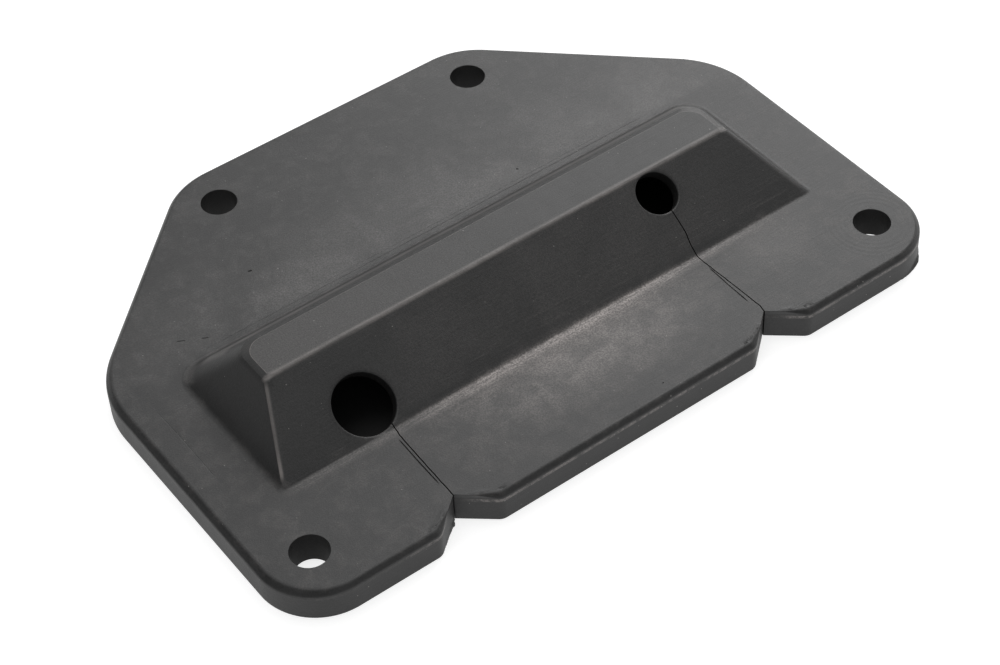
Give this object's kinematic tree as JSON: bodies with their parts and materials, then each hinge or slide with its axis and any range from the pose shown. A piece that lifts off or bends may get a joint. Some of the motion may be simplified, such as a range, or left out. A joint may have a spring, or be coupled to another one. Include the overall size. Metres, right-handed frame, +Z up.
{
  "type": "split cable entry cover",
  "caption": "Moulded rubber cable entry cover: bolted flange plate with a low hollow hood, cable holes through its front slope, and a slit flap that lifts so cables can be laid in.",
  "frame": {"origin": "centre of the plate's bounding rectangle, on the underside", "axes": "+X along the hood, +Y from the notched front edge to the back edge, +Z up out of the mounting face"},
  "size_m": [0.2, 0.1408, 0.0222],
  "materials": {
    "black_rubber": "matt moulded skin with light dust and scuffs"
  },
  "bodies": {
    "cover": {"cover_body": "black_rubber", "flap_hinge_web": "black_rubber"},
    "flap": {"cable_flap": "black_rubber"}
  },
  "joints": [
    {"name": "flap_hinge", "type": "hinge", "parent": "cover", "child": "flap", "pos_m": [0, -0.02667, 0.01308], "axis": [-1, 0, 0], "range_deg": [0, 45], "stiffness_Nm_per_rad": 0.3, "deforming": ["flap_hinge_web"]}
  ]
}
